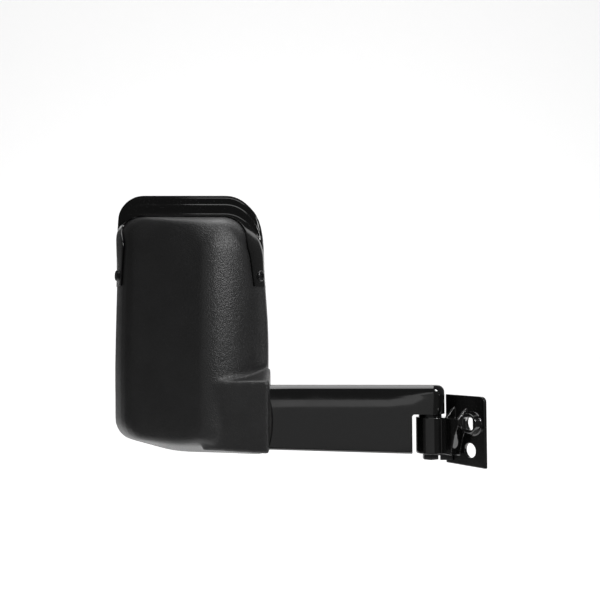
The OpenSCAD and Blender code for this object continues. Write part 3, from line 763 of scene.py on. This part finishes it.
class MIRROR_OT_visor(bpy.types.Operator):
    """Models the rain visor that wraps the housing's upper half"""
    bl_idname = "mirror.visor"
    bl_label = "Rain visor"

    FOOT_STEPS = 8
    SPACING = 3.0
    SCREW_UP = 9.5
    # Each step of the section past the foot: its share of the rise, then its share of the
    # reach at the top and on the legs
    SECTION = (
        (0.0, 0.08, 0.05), (0.01, 0.18, 0.10), (0.04, 0.25, 0.15), (0.10, 0.295, 0.20), (0.20, 0.32, 0.25),
        (0.34, 0.335, 0.30), (0.48, 0.345, 0.35), (0.535, 0.35, 0.38), (0.555, 0.365, 0.41), (0.575, 0.40, 0.45),
        (0.60, 0.41, 0.50), (0.74, 0.42, 0.58), (0.87, 0.43, 0.66), (0.895, 0.435, 0.70), (0.915, 0.465, 0.74),
        (0.94, 0.47, 0.78), (0.985, 0.475, 0.84), (1.0, 0.51, 0.88), (1.0, 0.70, 0.94), (1.0, 1.0, 1.0),
    )

    def execute(self, context):
        head = Head()
        size = sizes("visor")
        path = self.path(head, size.low / MM)
        normals = [self.normal(path, i) for i in range(len(path))]
        rows = [self.section(head, p, n) for p, n in zip(path, normals)]
        across = len(rows[0])
        bpy.ops.mesh.primitive_grid_add(x_subdivisions=across - 1, y_subdivisions=len(rows) - 1, size=0.1)
        visor = bpy.context.object
        place(visor, [point * MM for row in rows for point in row])
        outward(visor)
        if self.faces_in(visor, head):
            edit(visor)
            bpy.ops.mesh.select_all(action="SELECT")
            bpy.ops.mesh.flip_normals()
            leave()
        add_modifier(visor, "SOLIDIFY", thickness=size.thickness, offset=1.0, use_even_offset=True,
                     thickness_clamp=0.0)
        add_modifier(visor, "BEVEL", width=0.0007, segments=3, limit_method="ANGLE",
                     angle_limit=math.radians(50))
        smooth_by_angle(visor, 45)
        settle(visor, "rain_visor", material("satin"), "arm", "visor_plastic", "visor")
        self.screws(head, path, normals)
        return {"FINISHED"}

    def path(self, head, low):
        """The outline from the near leg's end over the top to the far leg's end."""
        outline = head.outline()
        n = len(outline)
        middle = (head.left + head.right) / 2
        start = next(i for i in range(n)
                     if outline[i].y <= low < outline[(i + 1) % n].y and outline[i].x > middle)
        ordered = [outline[(start + k) % n] for k in range(n + 1)]
        points = []
        for a, b in zip(ordered, ordered[1:]):
            if not points:
                points.append(a.lerp(b, (low - a.y) / (b.y - a.y)))
                continue
            if b.y < low and a.x < middle:
                points += [a, a.lerp(b, (low - a.y) / (b.y - a.y))]
                break
            points.append(a)
        return evenly(points, self.SPACING)

    def normal(self, path, i):
        t = (path[min(i + 1, len(path) - 1)] - path[max(i - 1, 0)]).normalized()
        return Vector((t.y, -t.x))

    def rise_share(self, head, z):
        t = max(0.0, min(1.0, (z - (head.top - 66)) / 46))
        return t * t * (3 - 2 * t)

    def foot(self, head, z):
        """How far in from the outline the visor's foot lies: its legs widen upwards, its top is narrow."""
        size = sizes("visor")
        t = max(0.0, min(1.0, (z - size.low / MM) / 62))
        top = max(0.0, min(1.0, (z - (head.top - 40)) / 36))
        return (size.foot + t * size.widening - top * top * (3 - 2 * top) * size.drawn_back) / MM

    def section(self, head, p, n):
        """One row across the visor, from its foot on the housing to its rim."""
        size = sizes("visor")
        share = self.rise_share(head, p.y)
        lift = (size.rise - size.thickness) / MM
        foot = self.foot(head, p.y)
        step = head.rim - head.flange
        reach = head.flange + size.reach / MM
        clear = size.clearance / MM
        # The legs lie level with the flange, and the hood stands out from it
        level = clear - (1 - share) * size.thickness / MM
        points = []
        for k in range(self.FOOT_STEPS + 1):
            t = k / self.FOOT_STEPS
            q = p - n * foot * (1 - t)
            deep = head.depth_inside(q) if k < self.FOOT_STEPS else 0.0
            q += n * (clear + (level - clear) * t)
            points.append(Vector((q.x, step - deep - clear, q.y)))
        for rise, top, leg in self.SECTION:
            q = p + n * level
            along = leg + (top - leg) * share
            points.append(Vector((q.x, step + reach * along, q.y + lift * rise * share)))
        return points

    def faces_in(self, visor, head):
        """Whether the visor's faces look at the housing instead of away from it."""
        middle = Vector(((head.left + head.right) / 2, 0, (head.low + head.top) / 2)) * MM
        score = 0.0
        for face in visor.data.polygons:
            away = face.center - middle
            away.y = 0
            score += face.normal.dot(away) * face.area
        return score < 0

    def screws(self, head, path, normals):
        """Two pan-head screws with a cross recess, square to the legs' sloped faces."""
        size = sizes("visor")
        for name, near in (("near", True), ("far", False)):
            order = range(len(path)) if near else range(len(path) - 1, -1, -1)
            i = next(k for k in order if path[k].y >= size.low / MM + self.SCREW_UP)
            p, n = path[i], normals[i]
            foot = self.foot(head, p.y)
            step = head.rim - head.flange
            proud = (size.clearance + size.thickness) / MM
            top = p + n * proud
            low = p - n * (foot - proud)
            deep = head.depth_inside(p - n * foot)
            across = Vector((low.x - top.x, -deep, low.y - top.y))
            out = across.cross(UP)
            if out.x * n.x < 0:
                out = -out
            seat = Vector(((top.x + low.x) / 2, step - deep / 2, (top.y + low.y) / 2))
            screw = pan_head(size.screw / 2, 0.0028)
            turn = UP.rotation_difference(out.normalized()).to_matrix().to_4x4()
            screw.matrix_world = Matrix.Translation(seat * MM) @ turn
            settle(screw, "visor_screw_" + name, material("black"), "arm", "black_steel",
                   "visor_screws")


def pan_head(radius, height):
    """A domed screw head with a cross recess, seated at the origin and facing +Z."""
    bpy.ops.mesh.primitive_cylinder_add(vertices=48, radius=radius, depth=height,
                                        location=(0, 0, height / 2))
    head = bpy.context.object
    pick(head)
    bpy.ops.object.transform_apply(location=True)
    choose(head, "FACE", lambda centre, normal: normal.z > 0.9)
    bpy.ops.mesh.bevel(offset=height * 0.62, segments=6, affect="EDGES")
    leave()
    for angle in (0, 90):
        bpy.ops.mesh.primitive_cube_add(size=1.0)
        slot = bpy.context.object
        slot.scale = (radius * 1.1, radius * 0.24, height)
        slot.rotation_euler = (0, 0, math.radians(angle + 20))
        slot.location = (0, 0, height * 1.05)
        add_modifier(head, "BOOLEAN", operation="DIFFERENCE", object=slot, solver="EXACT")
        bpy.data.objects.remove(slot)
    smooth_by_angle(head, 40)
    return head


# ---------------------------------------------------------------- arm

class MIRROR_OT_arm(bpy.types.Operator):
    """Models the painted arm: its long body, its knuckle and the pockets below"""
    bl_idname = "mirror.arm"
    bl_label = "Arm"

    END_STEPS = 20
    HEAD_END = -178.0
    NOTCH = -22.5
    UPPER_LOW = 37.3
    CELL = 26.0
    CELLS = 6
    RIBS = 3
    WALL = 3.5
    # How much of the arm stays solid at its end and next to the knuckle
    SOLID_END = 12.5
    SOLID_KNUCKLE = 12.0
    # How far below the arm's top the pockets end
    ROOF = 10.0
    # The curve of the end at the head: its radius, how deep it bites and the height of its middle
    HOLLOW = (93.125, 4.0, 29.6)
    # The tongue: its length, thickness, height and the height of its middle
    TONGUE = (56.0, 10.0, 46.0, 34.1)
    # The crown of the sides and the rounding of the knuckle: depth below the top, then insets
    TOP = (
        (0.0, 10.0, 8.0), (0.25, 8.6, 6.0), (0.8, 7.2, 4.5), (2.0, 5.4, 2.7), (4.0, 3.9, 1.07),
        (6.0, 3.2, 0.3), (8.0, 2.7, 0.05), (11.0, 2.1, 0.0), (14.0, 1.6, 0.0), (17.0, 1.17, 0.0),
        (20.0, 0.79, 0.0), (23.5, 0.42, 0.0), (27.0, 0.15, 0.0), (32.0, 0.0, 0.0),
        (36.0, 0.0, 0.0), (41.0, 0.0, 0.0), (46.0, 0.0, 0.0), (51.0, 0.0, 0.0), (56.0, 0.0, 0.0),
        (61.0, 0.0, 0.0),
    )
    # The rounding of the lower edges: height above the lowest line, then insets
    BOTTOM = ((3.0, 0.0, 0.0), (1.5, 0.4, 0.4), (0.4, 1.4, 1.4), (0.0, 2.8, 2.8))

    def execute(self, context):
        arm = self.body()
        self.notch(arm)
        self.pockets(arm)
        self.tongue(arm)
        add_modifier(arm, "TRIANGULATE")
        smooth_by_angle(arm, 32)
        add_modifier(arm, "WEIGHTED_NORMAL", keep_sharp=True, weight=100)
        settle(arm, "arm_casting", material("paint"), "arm", "gloss_paint", "arm")
        return {"FINISHED"}

    def outline(self, side, end):
        """The arm seen from above, drawn in by one inset on its sides and by another at its knuckle."""
        size = sizes("arm")
        half = size.depth / 2 / MM - side
        r = size.knuckle / 2 / MM - end
        steps = self.END_STEPS
        turn = [math.radians(-90 + 180 * i / steps) for i in range(steps + 1)]
        sides = [(self.HEAD_END + self.CELL * i, half) for i in range(self.CELLS)]
        sides.append((self.NOTCH, half))
        near = [(x, -y) for x, y in sides]
        return near + [(r * math.cos(t), r * math.sin(t)) for t in turn] + sides[::-1]

    def body(self):
        """Rings of the outline, from the crowned top down to the rounded lower edges."""
        size = sizes("arm")
        top, low = size.top / MM, (size.top - size.height) / MM
        levels = [(top - depth, side, end) for depth, side, end in self.TOP]
        levels += [(low + up, side, end) for up, side, end in self.BOTTOM]
        rings = []
        for level, (z, side, end) in enumerate(levels):
            ring = []
            for x, y in self.outline(side, end):
                if x == self.HEAD_END:
                    x += self.hollow(z)
                t = (x - self.HEAD_END) / (self.NOTCH - self.HEAD_END)
                drop = size.drop / MM * t if level >= len(self.TOP) else 0.0
                ring.append(Vector((AXIS_X + x, AXIS_Y + y, z - drop)))
            rings.append(ring)
        n = len(rings[0])
        bpy.ops.mesh.primitive_circle_add(vertices=n, radius=0.1, fill_type="NGON")
        arm = bpy.context.object
        place(arm, [point * MM for point in rings[0]])
        edit(arm)
        bpy.ops.mesh.select_all(action="SELECT")
        for _ in rings[1:]:
            bpy.ops.mesh.extrude_region_move(TRANSFORM_OT_translate={"value": (0, 0, -STEP)})
        leave()
        place(arm, by_ring(arm, rings, 2))
        outward(arm)
        return arm

    def notch(self, arm):
        """Below the upper knuckle the arm ends short of the lower one."""
        size = sizes("arm")
        left, right, low, high = self.NOTCH, 30.0, -20.0, self.UPPER_LOW
        bpy.ops.mesh.primitive_cube_add(size=1.0)
        cutter = bpy.context.object
        cutter.scale = Vector((right - left, 3 * size.depth / MM, high - low)) * MM
        cutter.location = Vector((AXIS_X + (left + right) / 2, AXIS_Y, (low + high) / 2)) * MM
        pick(cutter)
        bpy.ops.object.transform_apply(location=True, scale=True)
        choose(cutter, "EDGE", lambda a, b: all(p.x < -0.05 and p.z > 0.03 for p in (a, b)))
        bpy.ops.mesh.bevel(offset=2.5 * MM, segments=5, affect="EDGES")
        leave()
        add_modifier(arm, "BOOLEAN", operation="DIFFERENCE", object=cutter, solver="MANIFOLD")
        bpy.data.objects.remove(cutter)
        under = self.UPPER_LOW * MM
        choose(arm, "EDGE", lambda a, b: all(
            abs(p.z - under) < 0.00002 and p.x > (AXIS_X + self.NOTCH + 4) * MM for p in (a, b)))
        bpy.ops.mesh.bevel(offset=1.0 * MM, segments=3, affect="EDGES", clamp_overlap=True)
        leave()

    def hollow(self, z):
        """How far the end at the head is drawn in: a shallow curve that the gasket fills."""
        radius, bite, height = self.HOLLOW
        return max(0.0, bite - radius + math.sqrt(radius ** 2 - (z - height) ** 2))

    def tongue(self, arm):
        """A flat tongue runs from the arm's end into the housing."""
        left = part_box("arm")[0][0] / MM
        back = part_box("inner_frame")[0][1] / MM
        bpy.ops.mesh.primitive_cube_add(size=1.0)
        tongue = bpy.context.object
        length, thickness, height, middle = self.TONGUE
        tongue.scale = Vector((length, thickness, height)) * MM
        tongue.location = Vector((left + length / 2, back - thickness / 2, middle)) * MM
        add_modifier(arm, "BOOLEAN", operation="UNION", object=tongue, solver="MANIFOLD")
        bpy.data.objects.remove(tongue)

    def pockets(self, arm):
        """The casting is open below, between its ribs."""
        size = sizes("arm")
        first = self.HEAD_END + self.SOLID_END
        last = self.NOTCH - self.SOLID_KNUCKLE
        cell = (last - first - self.RIBS * self.WALL) / (self.RIBS + 1)
        deep = size.height / MM + size.drop / MM + 5 - self.ROOF
        for k in range(self.RIBS + 1):
            bpy.ops.mesh.primitive_cube_add(size=1.0)
            core = bpy.context.object
            x = first + k * (cell + self.WALL) + cell / 2
            core.scale = Vector((cell, size.depth / MM - 2 * self.WALL, deep)) * MM
            core.location = Vector((AXIS_X + x, AXIS_Y, size.top / MM - self.ROOF - deep / 2)) * MM
            pick(core)
            bpy.ops.object.transform_apply(location=True, scale=True)
            choose(core, "EDGE", lambda a, b: abs((a - b).normalized().z) > 0.9)
            bpy.ops.mesh.bevel(offset=4 * MM, segments=4, affect="EDGES")
            leave()
            add_modifier(arm, "BOOLEAN", operation="DIFFERENCE", object=core, solver="MANIFOLD")
            bpy.data.objects.remove(core)


# ---------------------------------------------------------------- bracket and hardware

def copy_of(node):
    """A merged copy of a CAD node's mesh, to be worked on as a new piece."""
    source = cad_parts[node]
    mesh = source.data.copy()
    piece = bpy.data.objects.new(node + "_copy", mesh)
    bpy.context.scene.collection.objects.link(piece)
    edit(piece, "VERT")
    bpy.ops.mesh.select_all(action="SELECT")
    bpy.ops.mesh.remove_doubles(threshold=0.00001)
    leave()
    if piece.data.has_custom_normals:
        pick(piece)
        bpy.ops.mesh.customdata_custom_splitnormals_clear()
    return piece


class MIRROR_OT_bracket(bpy.types.Operator):
    """Models the cast bracket with its knuckle, web, gussets and raised seat"""
    bl_idname = "mirror.bracket"
    bl_label = "Bracket"

    VOXEL = 0.00055

    def execute(self, context):
        bracket = copy_of("bracket")
        bracket.data.remesh_voxel_size = self.VOXEL
        pick(bracket)
        bpy.ops.object.voxel_remesh()
        edit(bracket, "VERT")
        bpy.ops.mesh.select_all(action="SELECT")
        bpy.ops.mesh.vertices_smooth(factor=0.5, repeat=6)
        leave()
        pick(bracket)
        bpy.ops.object.shade_smooth()
        settle(bracket, "bracket_casting", material("paint"), "bracket", "gloss_paint", "bracket")
        return {"FINISHED"}


# Each piece of hardware: node, name, finish, body, slot and width of its broken edges in mm
HARDWARE = (
    ("pivot_nut", "pivot_lock_nut", "black", "arm", "black_steel", 0.6),
    ("thrust_plate", "tabbed_thrust_plate", "black", "bracket", "black_steel", 0.4),
    ("pivot_stud", "pivot_pin", "zinc", "arm", "zinc_steel", 0.5),
    ("inner_frame", "pressed_frame", "zinc", "arm", "zinc_steel", 0.4),
    ("ball_stud_nut", "stud_nut", "zinc", "arm", "zinc_steel", 0.4),
    ("glass_bezel", "glass_rim", "rubber", "glass", "rubber", 0.4),
    ("arm_gasket", "socket_gasket", "rubber", "arm", "rubber", 0.8),
)

# CAD nodes that keep their shape, with the finish each gets
KEPT = {
    "shell_screws": "zinc", "lower_bush": "nylon", "friction_ring": "satin", "disc_springs": "zinc",
    "spring_washer": "zinc", "frame_screws": "zinc", "ball_stud": "zinc", "ball_stud_washer": "zinc",
    "ball_liner": "nylon", "socket_ring": "grained", "socket_screws": "zinc", "glass_holder": "grained",
    "adhesive_pad": "foam", "mirror_glass": "glass",
}


class MIRROR_OT_hardware(bpy.types.Operator):
    """Breaks the edges of the nuts, plates and rims, and finishes the pieces inside"""
    bl_idname = "mirror.hardware"
    bl_label = "Hardware"

    def execute(self, context):
        for node, name, finish, body, slot, width in HARDWARE:
            piece = copy_of(node)
            edit(piece)
            bpy.ops.mesh.select_all(action="SELECT")
            bpy.ops.mesh.dissolve_limited(angle_limit=math.radians(0.5))
            leave()
            add_modifier(piece, "BEVEL", width=width * MM, segments=2, limit_method="ANGLE",
                         angle_limit=math.radians(40))
            smooth_by_angle(piece, 40)
            settle(piece, name, material(finish), body, slot, node)
        for node, finish in KEPT.items():
            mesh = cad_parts[node].data
            mesh.materials.clear()
            mesh.materials.append(material(finish))
        return {"FINISHED"}


# ---------------------------------------------------------------- stage

class MIRROR_OT_stage(bpy.types.Operator):
    """Sets up the pale floor, the backdrop, the soft lights and the camera"""
    bl_idname = "mirror.stage"
    bl_label = "Studio"

    def execute(self, context):
        size = sizes("stage")
        self.paper(size.floor)
        aim = Vector((-0.2, 0.02, 0.12))
        self.softbox("Overhead softbox", (-0.075, 0.04, 1.15), (-0.075, 0.04, 0.0), 0.75, 1.32, 10.0)
        self.softbox("Right strip", (0.95, -0.98, 0.85), aim, 0.30, 0.60, 16.0)
        self.softbox("Front card", (-0.85, -2.4, -0.15), (-0.85, 0.0, -0.15), 3.5, 0.9, 2.4)
        self.softbox("Front strip", (-0.2, -2.4, 0.42), (-0.2, 0.0, 0.42), 1.6, 0.30, 1.2)
        self.world()
        camera = bpy.data.objects.new("Camera", bpy.data.cameras.new("Camera"))
        context.scene.collection.objects.link(camera)
        camera.location = size.camera
        camera.rotation_euler = (math.radians(90) + size.pitch, 0, 0)
        camera.data.sensor_width = 36.0
        camera.data.lens = size.lens
        camera.data.clip_start = 0.01
        context.scene.camera = camera
        context.scene.view_settings.view_transform = "Standard"
        return {"FINISHED"}

    def paper(self, height):
        """A sheet of pale paper that runs along the floor and curves up behind."""
        bpy.ops.mesh.primitive_plane_add(size=1.0, location=(0, 0, 0))
        sheet = bpy.context.object
        place(sheet, [Vector((x, y, height)) for x, y in ((-1.1, -0.3), (0.7, -0.3), (-2.4, 2.6), (2.0, 2.6))])
        choose(sheet, "EDGE", lambda a, b: a.y > 2 and b.y > 2)
        steps, radius = 10, 0.8
        for i in range(steps):
            a, b = (math.radians(90 * k / steps) for k in (i, i + 1))
            shift = (0, radius * (math.sin(b) - math.sin(a)), radius * (math.cos(a) - math.cos(b)))
            bpy.ops.mesh.extrude_region_move(TRANSFORM_OT_translate={"value": shift})
        bpy.ops.mesh.extrude_region_move(TRANSFORM_OT_translate={"value": (0, 0, 3.5)})
        leave()
        pick(sheet)
        bpy.ops.object.shade_smooth()
        sheet.name = "paper_sweep"
        pale = bpy.data.materials.new("Pale paper")
        pale.use_nodes = True
        shader = pale.node_tree.nodes["Principled BSDF"]
        shader.inputs["Base Color"].default_value = (0.82, 0.82, 0.82, 1.0)
        shader.inputs["Roughness"].default_value = 0.9
        shader.inputs["Emission Color"].default_value = (1.0, 1.0, 1.0, 1.0)
        shader.inputs["Emission Strength"].default_value = 0.75
        sheet.data.materials.append(pale)

    def softbox(self, name, place_at, aim, width, height, power):
        lamp = bpy.data.lights.new(name, "AREA")
        lamp.shape = "RECTANGLE"
        lamp.size = width
        lamp.size_y = height
        lamp.energy = power
        box = bpy.data.objects.new(name, lamp)
        box.location = place_at
        box.rotation_euler = (Vector(aim) - box.location).to_track_quat("-Z", "Y").to_euler()
        bpy.context.scene.collection.objects.link(box)

    def world(self):
        world = bpy.data.worlds.new("Studio")
        world.use_nodes = True
        world.node_tree.nodes["Background"].inputs["Color"].default_value = (0.09, 0.09, 0.09, 1.0)
        bpy.context.scene.world = world


# ---------------------------------------------------------------- panel and start

class MIRROR_PT_panel(bpy.types.Panel):
    """Lists the mirror's pieces"""
    bl_idname = "MIRROR_PT_panel"
    bl_label = "Side mirror"
    bl_space_type = "VIEW_3D"
    bl_region_type = "UI"
    bl_category = "Side mirror"

    def draw(self, context):
        for operator in OPERATORS:
            self.layout.operator(operator.bl_idname)
        for name, kind in GROUPS_OF_SIZES.items():
            box = self.layout.box()
            for key in kind.__annotations__:
                box.prop(getattr(context.scene, "mirror_" + name), key)


OPERATORS = (
    MIRROR_OT_stage, MIRROR_OT_housing, MIRROR_OT_visor, MIRROR_OT_arm, MIRROR_OT_bracket,
    MIRROR_OT_hardware,
)
GROUPS_OF_SIZES = {
    "head": MIRROR_PG_head, "visor": MIRROR_PG_visor, "arm": MIRROR_PG_arm,
    "finish": MIRROR_PG_finish, "stage": MIRROR_PG_stage,
}


def register():
    for name, kind in GROUPS_OF_SIZES.items():
        bpy.utils.register_class(kind)
        setattr(bpy.types.Scene, "mirror_" + name, bpy.props.PointerProperty(type=kind))
    for kind in (*OPERATORS, MIRROR_PT_panel):
        bpy.utils.register_class(kind)


def unregister():
    for kind in (MIRROR_PT_panel, *reversed(OPERATORS)):
        bpy.utils.unregister_class(kind)
    for name, kind in GROUPS_OF_SIZES.items():
        delattr(bpy.types.Scene, "mirror_" + name)
        bpy.utils.unregister_class(kind)


def main():
    register()
    bpy.ops.mirror.stage()
    bpy.ops.mirror.housing()
    bpy.ops.mirror.visor()
    bpy.ops.mirror.arm()
    bpy.ops.mirror.bracket()
    bpy.ops.mirror.hardware()


if __name__ == "__main__":
    main()
